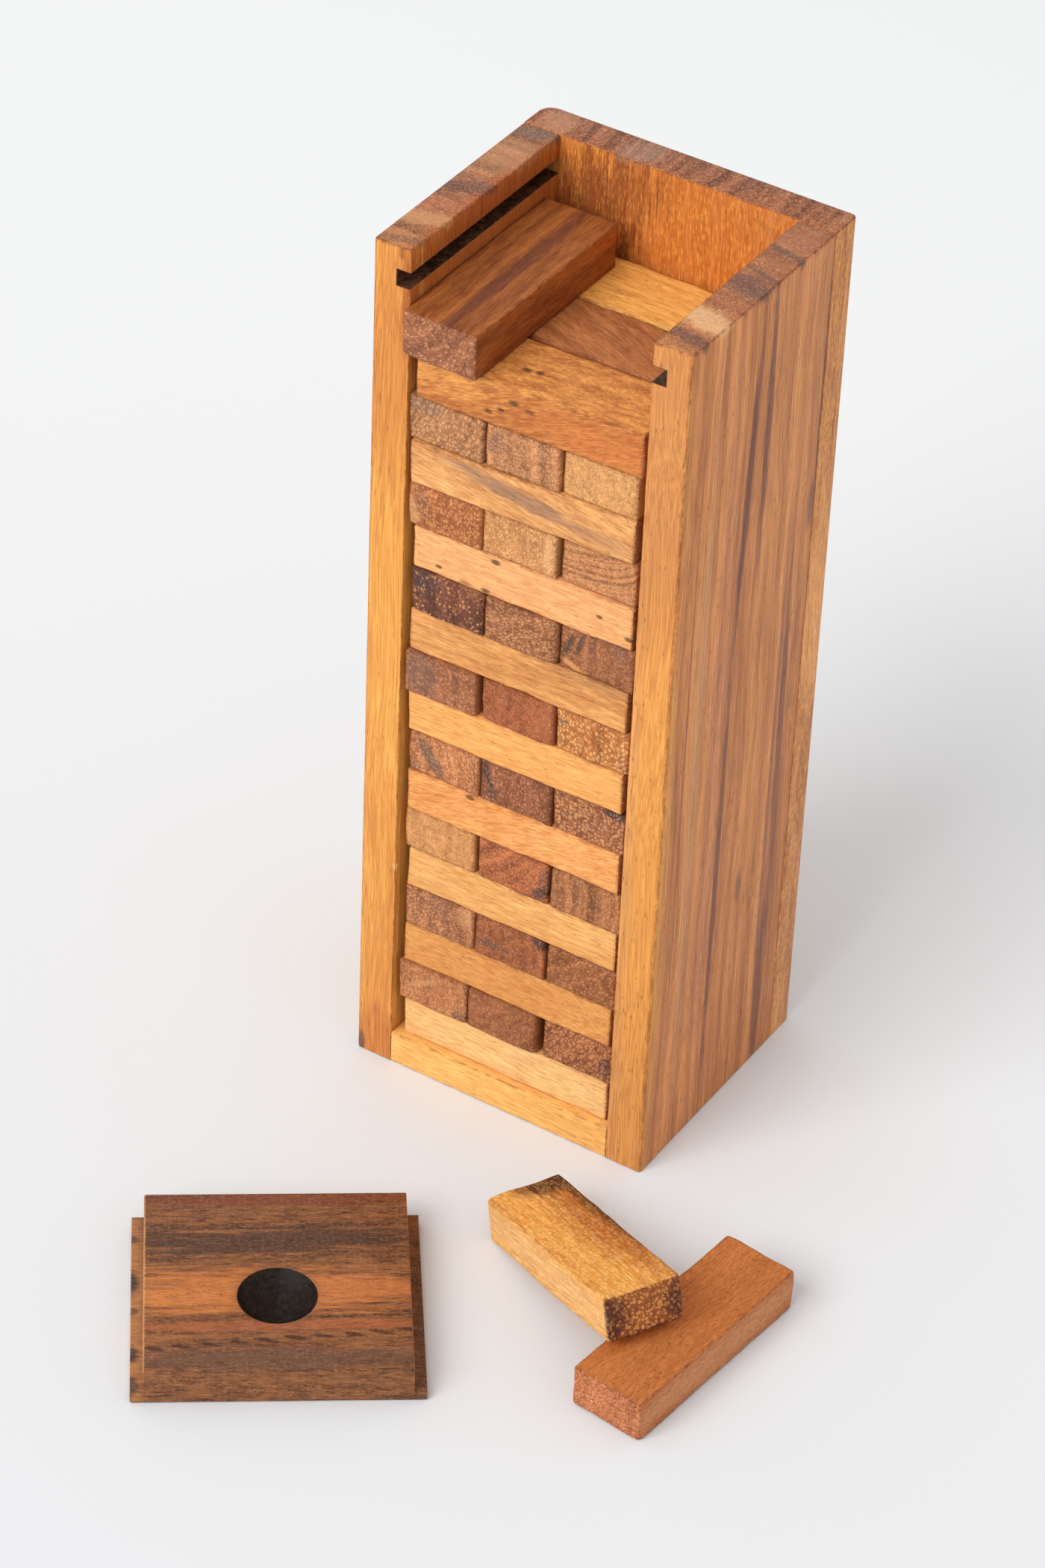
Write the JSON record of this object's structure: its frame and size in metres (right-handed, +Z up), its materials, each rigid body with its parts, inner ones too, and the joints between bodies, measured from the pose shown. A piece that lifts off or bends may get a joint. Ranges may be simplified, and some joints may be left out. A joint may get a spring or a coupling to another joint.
{
  "type": "tumbling tower game in a case",
  "caption": "Wooden tumbling tower of crossed blocks in an open-fronted upright case with a grooved sliding lid, with the lid and loose blocks lying in front.",
  "frame": {"origin": "centre of the underside of the case", "axes": "+Z up, -Y out of the case's open front, +X to the right seen from the front"},
  "size_m": [0.1811, 0.2582, 0.296],
  "materials": {
    "case_timber": "oiled",
    "lid_timber": "oiled",
    "golden_timber": "oiled",
    "brown_timber": "oiled",
    "red_timber": "oiled",
    "dark_timber": "oiled"
  },
  "bodies": {
    "case": {"base_board": "case_timber", "left_wall": "case_timber", "right_wall": "case_timber", "back_wall": "case_timber"},
    "lid": {"lid": "lid_timber"},
    "loose_lower_block": {"loose_lower_block": "brown_timber"},
    "loose_upper_block": {"loose_upper_block": "golden_timber"},
    "layer_01_front_block": {"layer_01_front_block": "golden_timber"},
    "layer_01_middle_block": {"layer_01_middle_block": "golden_timber"},
    "layer_01_back_block": {"layer_01_back_block": "golden_timber"},
    "layer_02_left_block": {"layer_02_left_block": "brown_timber"},
    "layer_02_middle_block": {"layer_02_middle_block": "brown_timber"},
    "layer_02_right_block": {"layer_02_right_block": "dark_timber"},
    "layer_03_front_block": {"layer_03_front_block": "golden_timber"},
    "layer_03_middle_block": {"layer_03_middle_block": "golden_timber"},
    "layer_03_back_block": {"layer_03_back_block": "golden_timber"},
    "layer_04_left_block": {"layer_04_left_block": "brown_timber"},
    "layer_04_middle_block": {"layer_04_middle_block": "dark_timber"},
    "layer_04_right_block": {"layer_04_right_block": "brown_timber"},
    "layer_05_front_block": {"layer_05_front_block": "golden_timber"},
    "layer_05_middle_block": {"layer_05_middle_block": "golden_timber"},
    "layer_05_back_block": {"layer_05_back_block": "golden_timber"},
    "layer_06_left_block": {"layer_06_left_block": "brown_timber"},
    "layer_06_middle_block": {"layer_06_middle_block": "red_timber"},
    "layer_06_right_block": {"layer_06_right_block": "brown_timber"},
    "layer_07_front_block": {"layer_07_front_block": "golden_timber"},
    "layer_07_middle_block": {"layer_07_middle_block": "golden_timber"},
    "layer_07_back_block": {"layer_07_back_block": "golden_timber"},
    "layer_08_left_block": {"layer_08_left_block": "red_timber"},
    "layer_08_middle_block": {"layer_08_middle_block": "dark_timber"},
    "layer_08_right_block": {"layer_08_right_block": "red_timber"},
    "layer_09_front_block": {"layer_09_front_block": "golden_timber"},
    "layer_09_middle_block": {"layer_09_middle_block": "golden_timber"},
    "layer_09_back_block": {"layer_09_back_block": "golden_timber"},
    "layer_10_left_block": {"layer_10_left_block": "dark_timber"},
    "layer_10_middle_block": {"layer_10_middle_block": "red_timber"},
    "layer_10_right_block": {"layer_10_right_block": "red_timber"},
    "layer_11_front_block": {"layer_11_front_block": "golden_timber"},
    "layer_11_middle_block": {"layer_11_middle_block": "golden_timber"},
    "layer_11_back_block": {"layer_11_back_block": "golden_timber"},
    "layer_12_left_block": {"layer_12_left_block": "dark_timber"},
    "layer_12_middle_block": {"layer_12_middle_block": "brown_timber"},
    "layer_12_right_block": {"layer_12_right_block": "brown_timber"},
    "layer_13_front_block": {"layer_13_front_block": "golden_timber"},
    "layer_13_middle_block": {"layer_13_middle_block": "golden_timber"},
    "layer_13_back_block": {"layer_13_back_block": "golden_timber"},
    "layer_14_left_block": {"layer_14_left_block": "red_timber"},
    "layer_14_middle_block": {"layer_14_middle_block": "brown_timber"},
    "layer_14_right_block": {"layer_14_right_block": "brown_timber"},
    "layer_15_front_block": {"layer_15_front_block": "golden_timber"},
    "layer_15_middle_block": {"layer_15_middle_block": "golden_timber"},
    "layer_15_back_block": {"layer_15_back_block": "golden_timber"},
    "layer_16_left_block": {"layer_16_left_block": "brown_timber"},
    "layer_16_middle_block": {"layer_16_middle_block": "brown_timber"},
    "layer_16_right_block": {"layer_16_right_block": "brown_timber"},
    "layer_17_front_block": {"layer_17_front_block": "golden_timber"},
    "layer_17_middle_block": {"layer_17_middle_block": "brown_timber"},
    "layer_17_back_block": {"layer_17_back_block": "golden_timber"},
    "layer_18_left_block": {"layer_18_left_block": "red_timber"}
  },
  "joints": [
    {"name": "lid_lift", "type": "slide", "parent": "case", "child": "lid", "axis": [0, 0, 1], "range_m": [0, 0.2837]},
    {"name": "loose_lower_block_lift", "type": "slide", "parent": "case", "child": "loose_lower_block", "axis": [0, 0, 1], "range_m": [0, 0.265]},
    {"name": "loose_upper_block_lift", "type": "slide", "parent": "loose_lower_block", "child": "loose_upper_block", "axis": [0, 0, 1], "range_m": [0, 0.06]},
    {"name": "layer_18_left_block_slide", "type": "slide", "parent": "case", "child": "layer_18_left_block", "axis": [0, -1, 0], "range_m": [0, 0.0764]},
    {"name": "layer_17_back_block_slide", "type": "slide", "parent": "case", "child": "layer_17_back_block", "axis": [0, -1, 0], "range_m": [0, 0.0249]},
    {"name": "layer_17_middle_block_slide", "type": "slide", "parent": "layer_17_back_block", "child": "layer_17_middle_block", "axis": [0, -1, 0], "range_m": [0, 0.0249]},
    {"name": "layer_17_front_block_slide", "type": "slide", "parent": "layer_17_middle_block", "child": "layer_17_front_block", "axis": [0, -1, 0], "range_m": [0, 0.0249]},
    {"name": "layer_16_left_block_slide", "type": "slide", "parent": "case", "child": "layer_16_left_block", "axis": [0, -1, 0], "range_m": [0, 0.0764]},
    {"name": "layer_16_middle_block_slide", "type": "slide", "parent": "case", "child": "layer_16_middle_block", "axis": [0, -1, 0], "range_m": [0, 0.0764]},
    {"name": "layer_16_right_block_slide", "type": "slide", "parent": "case", "child": "layer_16_right_block", "axis": [0, -1, 0], "range_m": [0, 0.0764]},
    {"name": "layer_15_back_block_slide", "type": "slide", "parent": "case", "child": "layer_15_back_block", "axis": [0, -1, 0], "range_m": [0, 0.0249]},
    {"name": "layer_15_middle_block_slide", "type": "slide", "parent": "layer_15_back_block", "child": "layer_15_middle_block", "axis": [0, -1, 0], "range_m": [0, 0.0249]},
    {"name": "layer_15_front_block_slide", "type": "slide", "parent": "layer_15_middle_block", "child": "layer_15_front_block", "axis": [0, -1, 0], "range_m": [0, 0.0249]},
    {"name": "layer_14_left_block_slide", "type": "slide", "parent": "case", "child": "layer_14_left_block", "axis": [0, -1, 0], "range_m": [0, 0.0764]},
    {"name": "layer_14_middle_block_slide", "type": "slide", "parent": "case", "child": "layer_14_middle_block", "axis": [0, -1, 0], "range_m": [0, 0.0764]},
    {"name": "layer_14_right_block_slide", "type": "slide", "parent": "case", "child": "layer_14_right_block", "axis": [0, -1, 0], "range_m": [0, 0.0764]},
    {"name": "layer_13_back_block_slide", "type": "slide", "parent": "case", "child": "layer_13_back_block", "axis": [0, -1, 0], "range_m": [0, 0.0249]},
    {"name": "layer_13_middle_block_slide", "type": "slide", "parent": "layer_13_back_block", "child": "layer_13_middle_block", "axis": [0, -1, 0], "range_m": [0, 0.0249]},
    {"name": "layer_13_front_block_slide", "type": "slide", "parent": "layer_13_middle_block", "child": "layer_13_front_block", "axis": [0, -1, 0], "range_m": [0, 0.0249]},
    {"name": "layer_12_left_block_slide", "type": "slide", "parent": "case", "child": "layer_12_left_block", "axis": [0, -1, 0], "range_m": [0, 0.0764]},
    {"name": "layer_12_middle_block_slide", "type": "slide", "parent": "case", "child": "layer_12_middle_block", "axis": [0, -1, 0], "range_m": [0, 0.0764]},
    {"name": "layer_12_right_block_slide", "type": "slide", "parent": "case", "child": "layer_12_right_block", "axis": [0, -1, 0], "range_m": [0, 0.0764]},
    {"name": "layer_11_back_block_slide", "type": "slide", "parent": "case", "child": "layer_11_back_block", "axis": [0, -1, 0], "range_m": [0, 0.0249]},
    {"name": "layer_11_middle_block_slide", "type": "slide", "parent": "layer_11_back_block", "child": "layer_11_middle_block", "axis": [0, -1, 0], "range_m": [0, 0.0249]},
    {"name": "layer_11_front_block_slide", "type": "slide", "parent": "layer_11_middle_block", "child": "layer_11_front_block", "axis": [0, -1, 0], "range_m": [0, 0.0249]},
    {"name": "layer_10_left_block_slide", "type": "slide", "parent": "case", "child": "layer_10_left_block", "axis": [0, -1, 0], "range_m": [0, 0.0764]},
    {"name": "layer_10_middle_block_slide", "type": "slide", "parent": "case", "child": "layer_10_middle_block", "axis": [0, -1, 0], "range_m": [0, 0.0764]},
    {"name": "layer_10_right_block_slide", "type": "slide", "parent": "case", "child": "layer_10_right_block", "axis": [0, -1, 0], "range_m": [0, 0.0764]},
    {"name": "layer_09_back_block_slide", "type": "slide", "parent": "case", "child": "layer_09_back_block", "axis": [0, -1, 0], "range_m": [0, 0.0249]},
    {"name": "layer_09_middle_block_slide", "type": "slide", "parent": "layer_09_back_block", "child": "layer_09_middle_block", "axis": [0, -1, 0], "range_m": [0, 0.0249]},
    {"name": "layer_09_front_block_slide", "type": "slide", "parent": "layer_09_middle_block", "child": "layer_09_front_block", "axis": [0, -1, 0], "range_m": [0, 0.0249]},
    {"name": "layer_08_left_block_slide", "type": "slide", "parent": "case", "child": "layer_08_left_block", "axis": [0, -1, 0], "range_m": [0, 0.0764]},
    {"name": "layer_08_middle_block_slide", "type": "slide", "parent": "case", "child": "layer_08_middle_block", "axis": [0, -1, 0], "range_m": [0, 0.0764]},
    {"name": "layer_08_right_block_slide", "type": "slide", "parent": "case", "child": "layer_08_right_block", "axis": [0, -1, 0], "range_m": [0, 0.0764]},
    {"name": "layer_07_back_block_slide", "type": "slide", "parent": "case", "child": "layer_07_back_block", "axis": [0, -1, 0], "range_m": [0, 0.0249]},
    {"name": "layer_07_middle_block_slide", "type": "slide", "parent": "layer_07_back_block", "child": "layer_07_middle_block", "axis": [0, -1, 0], "range_m": [0, 0.0249]},
    {"name": "layer_07_front_block_slide", "type": "slide", "parent": "layer_07_middle_block", "child": "layer_07_front_block", "axis": [0, -1, 0], "range_m": [0, 0.0249]},
    {"name": "layer_06_left_block_slide", "type": "slide", "parent": "case", "child": "layer_06_left_block", "axis": [0, -1, 0], "range_m": [0, 0.0764]},
    {"name": "layer_06_middle_block_slide", "type": "slide", "parent": "case", "child": "layer_06_middle_block", "axis": [0, -1, 0], "range_m": [0, 0.0764]},
    {"name": "layer_06_right_block_slide", "type": "slide", "parent": "case", "child": "layer_06_right_block", "axis": [0, -1, 0], "range_m": [0, 0.0764]},
    {"name": "layer_05_back_block_slide", "type": "slide", "parent": "case", "child": "layer_05_back_block", "axis": [0, -1, 0], "range_m": [0, 0.0249]},
    {"name": "layer_05_middle_block_slide", "type": "slide", "parent": "layer_05_back_block", "child": "layer_05_middle_block", "axis": [0, -1, 0], "range_m": [0, 0.0249]},
    {"name": "layer_05_front_block_slide", "type": "slide", "parent": "layer_05_middle_block", "child": "layer_05_front_block", "axis": [0, -1, 0], "range_m": [0, 0.0249]},
    {"name": "layer_04_left_block_slide", "type": "slide", "parent": "case", "child": "layer_04_left_block", "axis": [0, -1, 0], "range_m": [0, 0.0764]},
    {"name": "layer_04_middle_block_slide", "type": "slide", "parent": "case", "child": "layer_04_middle_block", "axis": [0, -1, 0], "range_m": [0, 0.0764]},
    {"name": "layer_04_right_block_slide", "type": "slide", "parent": "case", "child": "layer_04_right_block", "axis": [0, -1, 0], "range_m": [0, 0.0764]},
    {"name": "layer_03_back_block_slide", "type": "slide", "parent": "case", "child": "layer_03_back_block", "axis": [0, -1, 0], "range_m": [0, 0.0249]},
    {"name": "layer_03_middle_block_slide", "type": "slide", "parent": "layer_03_back_block", "child": "layer_03_middle_block", "axis": [0, -1, 0], "range_m": [0, 0.0249]},
    {"name": "layer_03_front_block_slide", "type": "slide", "parent": "layer_03_middle_block", "child": "layer_03_front_block", "axis": [0, -1, 0], "range_m": [0, 0.0249]},
    {"name": "layer_02_left_block_slide", "type": "slide", "parent": "case", "child": "layer_02_left_block", "axis": [0, -1, 0], "range_m": [0, 0.0764]},
    {"name": "layer_02_middle_block_slide", "type": "slide", "parent": "case", "child": "layer_02_middle_block", "axis": [0, -1, 0], "range_m": [0, 0.0764]},
    {"name": "layer_02_right_block_slide", "type": "slide", "parent": "case", "child": "layer_02_right_block", "axis": [0, -1, 0], "range_m": [0, 0.0764]},
    {"name": "layer_01_back_block_slide", "type": "slide", "parent": "case", "child": "layer_01_back_block", "axis": [0, -1, 0], "range_m": [0, 0.0249]},
    {"name": "layer_01_middle_block_slide", "type": "slide", "parent": "layer_01_back_block", "child": "layer_01_middle_block", "axis": [0, -1, 0], "range_m": [0, 0.0249]},
    {"name": "layer_01_front_block_slide", "type": "slide", "parent": "layer_01_middle_block", "child": "layer_01_front_block", "axis": [0, -1, 0], "range_m": [0, 0.0249]}
  ]
}
